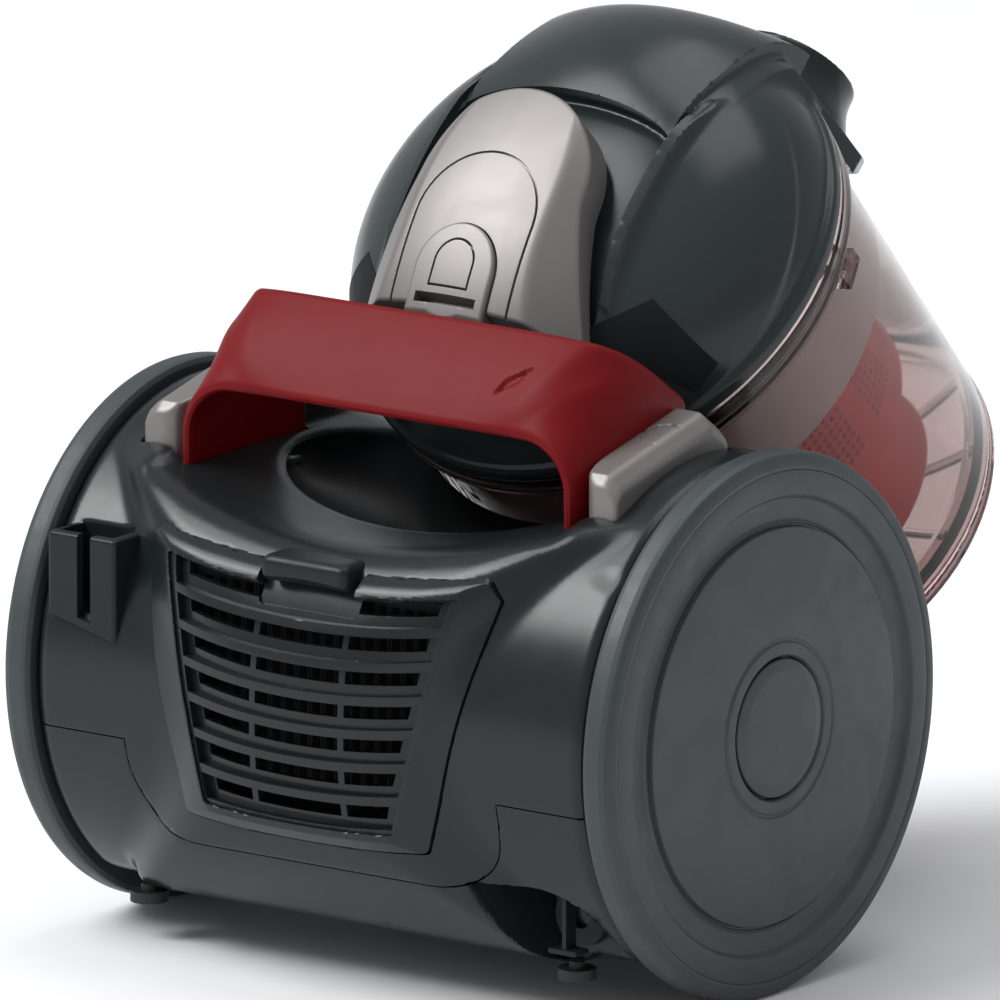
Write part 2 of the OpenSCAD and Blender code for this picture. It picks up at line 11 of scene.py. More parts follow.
import bpy
import numpy as np
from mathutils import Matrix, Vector


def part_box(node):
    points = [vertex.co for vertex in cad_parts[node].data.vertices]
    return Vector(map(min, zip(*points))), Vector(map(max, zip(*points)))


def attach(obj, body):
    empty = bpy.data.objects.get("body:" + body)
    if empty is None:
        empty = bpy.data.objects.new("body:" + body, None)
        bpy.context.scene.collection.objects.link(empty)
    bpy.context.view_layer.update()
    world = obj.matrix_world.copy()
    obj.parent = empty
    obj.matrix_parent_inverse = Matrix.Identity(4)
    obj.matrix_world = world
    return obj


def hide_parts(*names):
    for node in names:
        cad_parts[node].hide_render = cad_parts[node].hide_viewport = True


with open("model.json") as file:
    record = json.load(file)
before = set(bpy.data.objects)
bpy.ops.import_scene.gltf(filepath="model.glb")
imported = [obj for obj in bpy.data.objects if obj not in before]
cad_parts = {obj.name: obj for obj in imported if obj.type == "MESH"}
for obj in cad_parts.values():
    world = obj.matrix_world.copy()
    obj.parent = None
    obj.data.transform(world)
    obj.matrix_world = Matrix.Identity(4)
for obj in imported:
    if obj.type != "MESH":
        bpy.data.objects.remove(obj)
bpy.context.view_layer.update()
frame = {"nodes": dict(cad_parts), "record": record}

MM = 0.001


def middle(node):
    low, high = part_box(node)
    return (low + high) / 2 / MM


AXLE_Y = middle("axle_pins").y
AXLE_Z = middle("axle_pins").z
BIN_TILT = math.radians(45)
HINGE_V = -87.5
HINGE_W = -162.0
TILT_C = math.cos(BIN_TILT)
TILT_S = math.sin(BIN_TILT)
SEAM_Y = middle("lid_hinge_pin").y - HINGE_V * TILT_C + HINGE_W * TILT_S
SEAM_Z = middle("lid_hinge_pin").z - HINGE_V * TILT_S - HINGE_W * TILT_C

# ---------- camera and light ----------

VIEW_TURN = math.radians(37.04)
VIEW_RISE = math.radians(13.02)
VIEW_TARGET = Vector((0, AXLE_Y + 18.6, 161.2)) * MM
VIEW_DISTANCE = 10.0
LENS_MM = 995.0


def make_camera():
    data = bpy.data.cameras.new("camera")
    data.sensor_width = 36.0
    data.lens = LENS_MM
    data.clip_end = 200.0
    camera = bpy.data.objects.new("camera", data)
    bpy.context.scene.collection.objects.link(camera)
    back = Vector((math.sin(VIEW_TURN) * math.cos(VIEW_RISE), -math.cos(VIEW_TURN) * math.cos(VIEW_RISE),
                   math.sin(VIEW_RISE)))
    camera.location = VIEW_TARGET + back * VIEW_DISTANCE
    camera.rotation_mode = "QUATERNION"
    camera.rotation_quaternion = (-back).to_track_quat("-Z", "Y")
    bpy.context.scene.camera = camera
    bpy.context.scene.view_settings.view_transform = "Standard"


def area_light(name, place, size, power, colour=(1, 1, 1)):
    data = bpy.data.lights.new(name, "AREA")
    data.shape = "RECTANGLE"
    data.size, data.size_y = size
    data.energy = power
    data.color = colour
    light = bpy.data.objects.new(name, data)
    bpy.context.scene.collection.objects.link(light)
    light.location = place
    aim = Vector((0, 0, 0.16)) - Vector(place)
    light.rotation_mode = "QUATERNION"
    light.rotation_quaternion = aim.to_track_quat("-Z", "Y")


def make_lights():
    world = bpy.data.worlds.new("studio")
    bpy.context.scene.world = world
    world.use_nodes = True
    background = world.node_tree.nodes["Background"]
    background.inputs["Color"].default_value = (0.95, 0.97, 1.0, 1)
    background.inputs["Strength"].default_value = 0.5
    sun = bpy.data.lights.new("sun", "SUN")
    sun.energy = 2.0
    sun.angle = math.radians(40)
    lamp = bpy.data.objects.new("sun", sun)
    bpy.context.scene.collection.objects.link(lamp)
    lamp.rotation_mode = "QUATERNION"
    lamp.rotation_quaternion = Vector((0.9, 0.75, -1.6)).to_track_quat("-Z", "Y")
    area_light("key", (-1.5, -1.6, 2.0), (1.4, 1.0), 26)
    area_light("top", (0.1, 0.5, 2.4), (1.6, 1.2), 12)


# ---------- fields: distances in millimetres, negative inside ----------


def meet(a, b, r=0.01):
    """What is inside both, with its edge rounded to about radius r."""
    reach = 1.2 * r
    near = np.maximum(reach - np.abs(a - b), 0)
    return np.maximum(a, b) + near * near / (4 * reach)


def join(a, b, r=0.01):
    """What is inside either, with its corner filled to radius r."""
    return -meet(-a, -b, r)


def cut(a, b, r=0.01):
    """What is inside a and outside b."""
    return meet(a, -b, r)


def ease(value, low, high):
    """0 below low, 1 above high, and smooth between."""
    t = np.clip((value - low) / (high - low), 0, 1)
    return t * t * (3 - 2 * t)


def between(value, low, high):
    """Distance outside a range."""
    return np.abs(value - (low + high) / 2) - (high - low) / 2


def block(x, y, z, low, high, r=1.0):
    """A box with edges rounded to about radius r."""
    flat = meet(between(x, low[0], high[0]), between(y, low[1], high[1]), r)
    return meet(flat, between(z, low[2], high[2]), r)


def ball(x, y, z, centre, radii):
    """An ellipsoid, close to a true distance near its surface."""
    level = np.sqrt(((x - centre[0]) / radii[0]) ** 2 + ((y - centre[1]) / radii[1]) ** 2
                    + ((z - centre[2]) / radii[2]) ** 2)
    return (level - 1) * min(radii)


def slope(field, points, step=0.02):
    """The field's outward direction at each point."""
    x, y, z = points.T
    made = np.stack([field(x + step, y, z) - field(x - step, y, z), field(x, y + step, z) - field(x, y - step, z),
                     field(x, y, z + step) - field(x, y, z - step)], 1)
    return made / np.maximum(np.linalg.norm(made, axis=1, keepdims=True), 1e-9)


def crossings(field, grid, axis, low, step):
    """Where the surface crosses the grid's edges along one axis: edge index, point, and if it leaves the solid."""
    here = [slice(1, -1)] * 3
    there = [slice(1, -1)] * 3
    here[axis] = slice(0, -1)
    there[axis] = slice(1, None)
    start, end = grid[tuple(here)], grid[tuple(there)]
    index = np.argwhere((start < 0) != (end < 0))
    pick = tuple(index.T)
    a, b = start[pick].astype(float), end[pick].astype(float)
    leaves = a < 0
    offset = np.ones(3, int)
    offset[axis] = 0
    index = index + offset
    base = low + step * index
    t0, t1 = np.zeros(len(a)), np.ones(len(a))
    for _ in range(3):
        t = t0 + (t1 - t0) * np.clip(a / (a - b + 1e-12), 0.02, 0.98)
        point = base.copy()
        point[:, axis] += step * t
        value = field(*point.T)
        same = (value < 0) == (a < 0)
        t0, a = np.where(same, t, t0), np.where(same, value, a)
        t1, b = np.where(same, t1, t), np.where(same, b, value)
    point = base.copy()
    point[:, axis] += step * (t0 + (t1 - t0) * np.clip(a / (a - b + 1e-12), 0, 1))
    return index, point, leaves


def contour(field, low, high, step):
    """Closed mesh of a field's surface: one vertex a cell, where the surface's planes meet, so edges stay crisp."""
    low = np.array(low, float)
    counts = np.ceil((np.array(high, float) - low) / step).astype(int) + 1
    x, y, z = (low[i] + step * np.arange(counts[i]) for i in range(3))
    grid = field(x[:, None, None], y[None, :, None], z[None, None, :])
    grid = np.broadcast_to(grid, tuple(counts)).astype(np.float32)
    inside = grid < 0
    total = np.zeros(counts - 1, np.int8)
    for corner in np.ndindex(2, 2, 2):
        total += inside[tuple(slice(c, n - 1 + c) for c, n in zip(corner, counts))]
    mixed = (total > 0) & (total < 8)
    number = np.full(mixed.shape, -1, np.int64)
    cells = np.argwhere(mixed)
    number[mixed] = np.arange(len(cells))
    sums = np.zeros((13, len(cells)))
    faces = []
    for axis in range(3):
        index, point, leaves = crossings(field, grid, axis, low, step)
        normal = slope(field, point)
        flat = np.einsum("ij,ij->i", normal, point)
        rows = [np.ones(len(point)), *point.T]
        rows += [normal[:, i] * normal[:, j] for i, j in ((0, 0), (1, 1), (2, 2), (0, 1), (0, 2), (1, 2))]
        rows += [normal[:, i] * flat for i in range(3)]
        u, v = (axis + 1) % 3, (axis + 2) % 3
        corners = []
        for du, dv in ((0, 0), (-1, 0), (-1, -1), (0, -1)):
            cell = index.copy()
            cell[:, u] += du
            cell[:, v] += dv
            cell_number = number[tuple(cell.T)]
            corners.append(cell_number)
            for k, row in enumerate(rows):
                sums[k] += np.bincount(cell_number, weights=row, minlength=len(cells))
        quad = np.stack(corners, 1)
        quad[~leaves] = quad[~leaves][:, ::-1]
        faces.append(quad)
    count = sums[0]
    mean = (sums[1:4] / count).T
    xx, yy, zz, xy, xz, yz = sums[4:10]
    matrix = np.stack([xx, xy, xz, xy, yy, yz, xz, yz, zz], 1).reshape(-1, 3, 3)
    right = sums[10:13].T - np.einsum("nij,nj->ni", matrix, mean)
    matrix = matrix + (0.02 * count)[:, None, None] * np.eye(3)
    place = mean + np.linalg.solve(matrix, right[:, :, None])[:, :, 0]
    corner = low + step * cells
    place = np.clip(place, corner + 0.02 * step, corner + 0.98 * step)
    return place, np.concatenate(faces)


# ---------- meshes ----------


def from_axle(points):
    return points + np.array([0, AXLE_Y, 0])


def from_bin(points):
    x, v, w = points.T
    return np.stack([x, SEAM_Y + v * TILT_C - w * TILT_S, SEAM_Z + v * TILT_S + w * TILT_C], 1)


def make_piece(name, shape, place, material, body, stands_for=(), sharp=38):
    points, faces = shape
    points = place(np.array(points, float)) * MM
    mesh = bpy.data.meshes.new(name)
    mesh.from_pydata(points.tolist(), [], np.array(faces).tolist() if isinstance(faces, np.ndarray) else faces)
    mesh.validate()
    mesh.shade_smooth()
    mesh.set_sharp_from_angle(angle=math.radians(sharp))
    mesh.materials.append(material)
    piece = bpy.data.objects.new(name, mesh)
    bpy.context.scene.collection.objects.link(piece)
    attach(piece, body)
    if stands_for:
        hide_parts(*stands_for)
    return piece


def rounded(corners, steps=5):
    """An outline from (a, b, radius) corners, with each corner turned into an arc of that radius."""
    made = []
    n = len(corners)
    for i, (a, b, r) in enumerate(corners):
        here = np.array([a, b], float)
        back = np.array(corners[i - 1][:2], float) - here
        ahead = np.array(corners[(i + 1) % n][:2], float) - here
        back_length, ahead_length = np.linalg.norm(back), np.linalg.norm(ahead)
        back, ahead = back / back_length, ahead / ahead_length
        half = math.acos(max(-1, min(1, float(back @ ahead)))) / 2
        if r <= 0 or half > math.radians(88):
            made.append(here)
            continue
        reach = min(r / math.tan(half), 0.45 * back_length, 0.45 * ahead_length)
        r = reach * math.tan(half)
        centre = here + (back + ahead) / np.linalg.norm(back + ahead) * (r / math.sin(half))
        start, end = here + back * reach - centre, here + ahead * reach - centre
        turn = math.atan2(start[0] * end[1] - start[1] * end[0], float(start @ end))
        for k in range(steps + 1):
            c, s = math.cos(turn * k / steps), math.sin(turn * k / steps)
            made.append(centre + np.array([start[0] * c - start[1] * s, start[0] * s + start[1] * c]))
    return np.array(made)


def lathe(outline, segments=128):
    """Turns a closed outline of (along, radius) points about the axis; along comes out as x."""
    outline = np.array(outline, float)
    along, radius = outline.T
    # anticlockwise in (along, radius), so that the faces look outwards
    area = np.sum(along * np.roll(radius, -1) - np.roll(along, -1) * radius)
    if area < 0:
        along, radius = along[::-1], radius[::-1]
    angle = np.arange(segments) * 2 * math.pi / segments
    count = len(along)
    points = np.stack([np.repeat(along[None], segments, 0), np.outer(np.cos(angle), radius),
                       np.outer(np.sin(angle), radius)], 2).reshape(-1, 3)
    faces = []
    for s in range(segments):
        here, there = s * count, (s + 1) % segments * count
        for k in range(count):
            m = (k + 1) % count
            faces.append((here + k, here + m, there + m, there + k))
    return points, faces


def mirrored(shape):
    points, faces = shape
    return np.array(points) * [-1, 1, 1], [tuple(face)[::-1] for face in np.array(faces).tolist()]


def slab(grid, normal, half):
    """A sheet of thickness 2 half about a grid of points, with half-round long edges and flat ends."""
    rows, cols, _ = grid.shape
    edge_steps = 4
    rings = []
    for i in range(rows):
        out_a = grid[i, 0] - grid[i, 1]
        out_b = grid[i, -1] - grid[i, -2]
        out_a /= np.linalg.norm(out_a)
        out_b /= np.linalg.norm(out_b)
        ring = [grid[i, j] + normal[i, j] * half for j in range(cols)]
        for k in range(1, edge_steps):
            t = math.pi * k / edge_steps
            ring.append(grid[i, -1] + (out_b * math.sin(t) + normal[i, -1] * math.cos(t)) * half)
        ring += [grid[i, j] - normal[i, j] * half for j in reversed(range(cols))]
        for k in range(1, edge_steps):
            t = math.pi * k / edge_steps
            ring.append(grid[i, 0] + (out_a * math.sin(t) - normal[i, 0] * math.cos(t)) * half)
        rings.append(ring)
    count = len(rings[0])
    faces = []
    for i in range(rows - 1):
        for k in range(count):
            m = (k + 1) % count
            faces.append((i * count + k, i * count + m, (i + 1) * count + m, (i + 1) * count + k))
    faces.append(tuple(range(count))[::-1])
    faces.append(tuple((rows - 1) * count + k for k in range(count)))
    return np.array(rings).reshape(-1, 3), faces


def add_modifier(piece, kind, **values):
    modifier = piece.modifiers.new(kind.lower(), kind)
    for key, value in values.items():
        setattr(modifier, key, value)


# ---------- materials ----------


def srgb(r, g, b):
    """Linear colour of 0-255 display values."""
    def linear(c):
        c = c / 255
        return c / 12.92 if c <= 0.04045 else ((c + 0.055) / 1.055) ** 2.4
    return (linear(r), linear(g), linear(b), 1)


def surface(name, colour, rough, rough_spread=0.05, tone=0.1, grain=0.00002, grain_scale=2600, **sockets):
    """A moulded surface: fine grain in the relief, slow changes of gloss and tone, and faint scuffs."""
    material = bpy.data.materials.new(name)
    material.use_nodes = True
    tree = material.node_tree
    nodes, links = tree.nodes, tree.links
    shader = nodes["Principled BSDF"]
    for socket, value in sockets.items():
        shader.inputs[socket.replace("_", " ")].default_value = value
    place = nodes.new("ShaderNodeTexCoord")

    def noise(scale, detail, distortion=0.0):
        node = nodes.new("ShaderNodeTexNoise")
        node.inputs["Scale"].default_value = scale
        node.inputs["Detail"].default_value = detail
        node.inputs["Distortion"].default_value = distortion
        links.new(place.outputs["Object"], node.inputs["Vector"])
        return node.outputs["Fac"]

    def spread(source, low, high, out_low, out_high):
        node = nodes.new("ShaderNodeMapRange")
        for socket, value in (("From Min", low), ("From Max", high), ("To Min", out_low), ("To Max", out_high)):
            node.inputs[socket].default_value = value
        links.new(source, node.inputs["Value"])
        return node.outputs["Result"]

    # tone: slow mottling and a little dust in the fine grain
    ramp = nodes.new("ShaderNodeMix")
    ramp.data_type = "RGBA"
    ramp.inputs["A"].default_value = tuple(c * (1 - tone) for c in colour[:3]) + (1,)
    ramp.inputs["B"].default_value = tuple(min(1, c * (1 + tone)) for c in colour[:3]) + (1,)
    links.new(spread(noise(34, 5), 0.3, 0.7, 0, 1), ramp.inputs["Factor"])
    links.new(ramp.outputs["Result"], shader.inputs["Base Color"])
    # gloss: broad variation and fine scuffs drawn out by distortion
    gloss = nodes.new("ShaderNodeMath")
    gloss.operation = "ADD"
    links.new(spread(noise(48, 4, 1.5), 0.35, 0.65, rough - rough_spread, rough + rough_spread), gloss.inputs[0])
    links.new(spread(noise(420, 6, 3.0), 0.62, 0.78, 0, 1.6 * rough_spread), gloss.inputs[1])
    links.new(gloss.outputs[0], shader.inputs["Roughness"])
    # relief: moulded grain
    bump = nodes.new("ShaderNodeBump")
    bump.inputs["Strength"].default_value = 0.6
    bump.inputs["Distance"].default_value = grain
    links.new(noise(grain_scale, 2), bump.inputs["Height"])
    links.new(bump.outputs["Normal"], shader.inputs["Normal"])
    return material


MATERIALS = {
    "body": surface("body_plastic", srgb(25, 31, 32), 0.36, tone=0.06, grain=0.00003, Specular_IOR_Level=0.22),
    "gloss": surface("gloss_plastic", srgb(24, 30, 31), 0.24, rough_spread=0.02, tone=0.04, grain=0.000012,
                     Specular_IOR_Level=0.34),
    "wheel": surface("wheel_plastic", srgb(53, 59, 62), 0.48, tone=0.06, grain=0.00003),
    "tyre": surface("tyre_rubber", srgb(48, 55, 57), 0.5, tone=0.08, grain=0.00005, grain_scale=1800),
    # the cap's plastic is the body's gloss plastic made lighter: painted light for the lit side of the dome
    "cap": surface("cap_plastic_lit", srgb(38, 45, 46), 0.22, rough_spread=0.02, tone=0.04, grain=0.000012,
                   Specular_IOR_Level=0.36),
    "black": surface("black_plastic", srgb(19, 22, 23), 0.6, tone=0.1, grain=0.00005, Specular_IOR_Level=0.15),
    "red": surface("red_plastic", srgb(106, 8, 13), 0.48, rough_spread=0.008, tone=0.02, grain=0.00002,
                   Specular_IOR_Level=0.14),
    "silver": surface("silver_plastic", srgb(124, 120, 118), 0.4, rough_spread=0.02, tone=0.02, grain=0.000015,
                      Metallic=0.45),
    # red pushed brighter than the plastic's own: painted light against the shade inside the jar
    "cyclone": surface("cyclone_red_plastic_lit", srgb(255, 44, 46), 0.6, tone=0.05),
    "band": surface("band_plastic", srgb(196, 176, 172), 0.45, tone=0.05),
    "steel": surface("steel", srgb(170, 172, 176), 0.28, tone=0.06, grain_scale=900, Metallic=1.0),
    "rubber": surface("black_rubber", srgb(26, 27, 28), 0.62, tone=0.15, grain=0.00006),
    "grey": surface("grey_plastic", srgb(96, 92, 92), 0.4, tone=0.08),
    "board": surface("board_laminate", srgb(30, 84, 50), 0.45, tone=0.12),
    "paper": surface("filter_paper", srgb(34, 34, 35), 0.9, tone=0.08, grain=0.0001, grain_scale=1200),
    "foam": surface("filter_foam", srgb(206, 200, 178), 0.95, tone=0.12, grain=0.0003, grain_scale=700),
    "clear": surface("smoked_clear", srgb(200, 184, 181), 0.06, rough_spread=0.02, tone=0.02, grain=0.000004,
                     grain_scale=300, Transmission_Weight=1.0, IOR=1.28),
}

SLOT_MATERIAL = {
    "body_plastic": "body", "gloss_plastic": "gloss", "wheel_plastic": "wheel", "tyre_rubber": "tyre",
    "black_plastic": "black", "red_plastic": "red", "silver_plastic": "silver", "smoke_clear": "clear",
    "steel": "steel", "rubber": "rubber", "board": "board", "filter_paper": "paper", "foam": "foam",
    "grey_plastic": "grey",
}


def dress_cad_nodes():
    """Gives every CAD node the material of its slot in the record."""
    for part in frame["record"]["subparts"]:
        mesh = frame["nodes"][part["node"]].data
        mesh.materials.clear()
        mesh.materials.append(MATERIALS[SLOT_MATERIAL[part["material_slot"]]])
        mesh.shade_smooth()
        mesh.set_sharp_from_angle(angle=math.radians(30))


# ---------- body ----------

BARREL_R = 97.0
BARREL_HALF = 124.0
BULGE_R = 104.0
BULGE_Y = -3.0
PLAN_R = 150.0
PLAN_Y = 43.0
WALL = 2.5
LINING = 3.4
UNDER_Z = 18.0
SEAM_HEIGHT = 82.0
SEAM_GAP = 0.35
DECK_Z = 163.0
DECK_HALF = 88.0
NOSE_TOP = 50.0
CASTER_Y = 165.0
PEDAL_X = (89.3, 107.0)
PEDAL_Y = (-54.5, 14.0)
HOLE_PITCH = 3.6


def bin_coordinates(y, z):
    """The bin frame's v and w of a point given in the axle frame."""
    dy, dz = y - (SEAM_Y - AXLE_Y), z - SEAM_Z
    return dy * TILT_C + dz * TILT_S, dz * TILT_C - dy * TILT_S


def bulge_surface(x, y, z):
    """Distance from the rear wall, which is curved both from top to bottom and from side to side."""
    return meet(np.hypot(y - BULGE_Y, z - AXLE_Z) - BULGE_R, np.hypot(x, y - PLAN_Y) - PLAN_R, 6)


def rear_surface(x, y, z):
    """Distance from the outermost of the rear bulge and the barrel."""
    return join(bulge_surface(x, y, z), np.hypot(y, z - AXLE_Z) - BARREL_R, 5)


def rear_bulge(x, y, z):
    """The part of the body that stands out at the rear, between the fenders."""
    half = 90 + 13 * ease(z, 122, 140)
    flank = (np.abs(x) - half - (np.minimum(y, -74) + 90) * 0.7) * 0.82
    wall = meet(bulge_surface(x, y, z), flank, 4)
    return meet(meet(wall, z - 181, 8), y + 10, 5)


def bin_recess(x, y, z):
    """Room for the dust bin and its flange, with a gap all round."""
    v, w = bin_coordinates(y, z)
    radius = np.hypot(x, v)
    cone = (radius - (86.0 + (w + 163) * 0.0516)) * 0.998
    return join(meet(cone, w + 13, 0.01), meet(radius - 98.5, -13 - w, 0.01), 1)


def nose(x, y, z):
    """The low front of the body, over the caster."""
    sides = (np.abs(x) - 92 + (y - 60) * 0.438) * 0.916
    plan = join(meet(meet(sides, 60 - y), y - CASTER_Y), np.hypot(x, y - CASTER_Y) - 48, 10)
    return meet(plan, z - NOSE_TOP, 9)


def body_form(x, y, z):
    """The outer form of the whole body."""
    form = meet(np.hypot(y, z - AXLE_Z) - BARREL_R, np.abs(x) - BARREL_HALF, 5)
    form = join(form, rear_bulge(x, y, z), 5)
    form = join(form, nose(x, y, z), 6)
    # saddle-shaped deck between the fenders, with a wide bowl under the handle
    deck = (DECK_Z + x * x / 500 - z) * 0.95
    form = cut(form, meet(deck, np.abs(x) - DECK_HALF, 3), 9)
    form = cut(form, ball(x, y, z, (0, 12, DECK_Z + 9), (80, 60, 24)), 1.6)
    # finger scoop on the right fender, beside the wheel
    form = cut(form, ball(x, y, z, (119, -79, 171.5), (14, 9.5, 9.5)), 2.0)
    form = cut(form, holder_room(x, y, z), 0.3)
    form = meet(form, UNDER_Z - z, 7)
    form = cut(form, bin_recess(x, y, z), 1.2)
    well = meet(np.hypot(x, y - CASTER_Y) - 27, z - 41)
    return cut(form, well, 1.5)


def holder_foot(x):
    """Height of the parking holder's slanted underside."""
    return 117 + (-87 - x) * 0.25


def holder_room(x, y, z):
    """The space inside the parking holder, which goes on into the body behind it."""
    return block(x, y, z, (-114.5, -92.8, holder_foot(x) + 3.5), (-90.5, -79, 175), 0.01)


def cord_bay(x, y, z):
    """Open bay at the right rear, with a slanted left wall and a rounded upper right corner."""
    left = (66 + (y + 93) * 0.42 + (48 - z) * 0.3 - x) * 0.9
    room = meet(meet(left, x - 118), meet(z - 50, 20.5 - z), 0.5)
    corner = np.hypot(np.maximum(x - 94, 0), np.maximum(z - 26, 0)) - 24
    return meet(meet(room, corner), y + 58, 0.5)


def body_skin(x, y, z):
    """The body's hollow wall, with the lining of the rear bay."""
    form = body_form(x, y, z)
    skin = meet(form, -(form + WALL))
    bay = cord_bay(x, y, z)
    lining = meet(meet(bay - LINING, -bay), form)
    return cut(join(skin, lining), bay, 0.6)


def vent_lines(x, z):
    """Distances beyond the exhaust cover's slanted sides, its sagging top edge and its sagging foot."""
    side = ((np.abs(x) - 54.5) * 94 - (z - 60) * 24.5) / 97.1
    top = z - (158 + 6 * (x / 72) ** 2)
    foot = 57.5 + 2.5 * (x / 54.5) ** 2 - z
    return side, top, foot


def vent_edge(x, z):
    """Distance from the exhaust cover's outline, negative inside."""
    side, top, foot = vent_lines(x, z)
    corner = ((np.abs(x) - 79) * 10 + (z - 154) * 7) / 12.2
    return meet(meet(side, corner), meet(top, foot), 1.5)


def vent_opening(x, z):
    """Outline of the opening behind the exhaust cover; the cover's top edge laps over the shell."""
    return meet(vent_edge(x, z) - 0.7, z - 154 - 6 * (x / 72) ** 2)


def apron(x, z):
    """The part of the upper shell that hangs down over the lower one at the rear."""
    return meet(np.abs(x) - 84, 47 - z, 26)


def upper_region(x, y, z, gap):
    """What lies on the upper shell's side of the seam, less a gap."""
    hang = meet(meet(apron(x, z), y + 60), z - SEAM_HEIGHT - 5)
    return join(SEAM_HEIGHT - z, hang) + gap


def upper_shell(x, y, z):
    """Deck, fenders and rear wall, with openings for the exhaust cover, the pedals and the axle."""
    solid = meet(body_skin(x, y, z), upper_region(x, y, z, SEAM_GAP / 2), 0.5)
    vent = meet(vent_opening(x, z), y + 60)
    solid = cut(solid, vent)
    slot = block(np.abs(x), y, z, (84.2, PEDAL_Y[0] - 0.6, 160), (PEDAL_X[1] + 0.6, PEDAL_Y[1] + 0.6, 230), 0.5)
    solid = cut(solid, slot, 0.6)
    return cut(solid, np.hypot(y, z - AXLE_Z) - 6.1)


def nose_cover_region(y, z):
    """The front cover's share of the nose, outside the lower shell."""
    return meet(meet(90 - y, 34 - z), z - 60)


def lower_shell(x, y, z):
    """Pan, lower fenders and nose, with a small hole beside the bay."""
    solid = meet(body_skin(x, y, z), -upper_region(x, y, z, -SEAM_GAP / 2), 0.5)
    solid = cut(solid, nose_cover_region(y, z) - SEAM_GAP / 2, 0.4)
    hole = ball(x, y, z, (18.5, -76, 21), (7, 5, 4))
    solid = cut(solid, hole, 0.5)
    return cut(solid, np.hypot(y, z - AXLE_Z) - 6.1)


def front_cover(x, y, z):
    """Top of the nose."""
    return meet(body_skin(x, y, z), nose_cover_region(y, z) + SEAM_GAP / 2, 0.4)


def bay_rib(x, y, z):
    """Thin rib with a foot, which hangs from the bay's roof in front of the cord outlet."""
    web = block(x, y, z, (99.2, -76, 26.5), (101, -70, 51.5), 0.4)
    foot = block(x, y, z, (94, -77.5, 25.5), (106.5, -69.5, 27.5), 0.6)
    return join(web, foot, 0.8)


def parking_socket(x, y, z):
    """Holder for a floor tool: a slotted box, open at the top, on the left of the rear wall."""
    foot = holder_foot(x)
    box = meet(block(x, y, z, (-118, -96.6, 100), (-87, -70, 155), 1.6), foot - z, 0.01)
    slot = block(x, y, z, (-104.4, -110, foot + 3), (-98.4, -80, 170), 0.01)
    box = cut(cut(box, holder_room(x, y, z)), slot)
    return meet(cut(box, body_form(x, y, z)), y + 74)


# ---------- exhaust cover ----------

ROW_Z = 70.0
ROW_PITCH = 12.3
ROW_COUNT = 7
COVER_TOP = 3.0
PANEL_DEPTH = 1.6
SHELF_DEPTH = -1.4
COVER_BACK = -4.6
NOTCH_FLOOR = 1.8


def louvres(x, z, depth):
    """Recessed shelves with slots in three columns; the rows follow the sagging top edge."""
    level = z - 4.5 * (x / 60) ** 2
    row = np.clip(np.round((level - ROW_Z) / ROW_PITCH), 0, ROW_COUNT - 1)
    local = level - ROW_Z - ROW_PITCH * row
    ax = np.abs(x)
    reach = 42.5 + (z - ROW_Z) * 0.235
    shelf = meet(meet(ax - reach, np.abs(local) - 4.6), SHELF_DEPTH - depth)
    columns = meet(ax - reach + 4.5, 1.3 - np.abs(ax - 20))
    return join(shelf, meet(columns, between(local, -1.0, 3.6)))


def exhaust_cover(x, y, z):
    """Bevelled frame round a panel of recessed louvre slots, curved like the wall around it."""
    depth = rear_surface(x, y, z)
    side, top, foot = vent_lines(x, z)
    above = depth - COVER_TOP
    # bevels: steep along the top, long and flat along the sides, and short along the foot
    solid = meet(meet(above, vent_edge(x, z)), (above + top + 5.0) * 0.707, 1.2)
    solid = meet(solid, (above + 0.16 * (side + 14)) * 0.98)
    solid = meet(solid, (above + 0.5 * (foot + 4)) * 0.9)
    panel = meet(side + 13.5, meet(top + 9, foot + 7, 1.5), 1.5)
    solid = cut(solid, meet(panel + above * 0.5, PANEL_DEPTH - depth), 1.0)
    solid = meet(solid, COVER_BACK - depth)
    # closed notch for the latch, which the slots stay clear of
    notch = meet(np.abs(x) - 22, 141.5 - z, 2)
    solid = cut(solid, cut(louvres(x, z, depth), notch))
    solid = cut(solid, meet(notch, COVER_BACK + NOTCH_FLOOR - depth))
    # outside the opening, only what stands clear of the shell
    return meet(solid, join(vent_opening(x, z) + 0.7, -(body_form(x, y, z) + 0.3)))


def latch_tab(x, y, z):
    """The cover's snap latch: a rounded lip with a finger dish under it."""
    lip = block(x, y, z, (-19.5, -99.5, 150.5), (19.5, -82, 160.5), 3.2)
    back = block(x, y, z, (-19.5, -87, 143), (19.5, -84, 156), 0.8)
    dish = ball(x, y, z, (0, -103, 147.5), (30, 9, 6.5))
    return cut(join(lip, back, 2), dish, 0.8)


# ---------- handle and pedals ----------

STRAP_HALF = 1.9


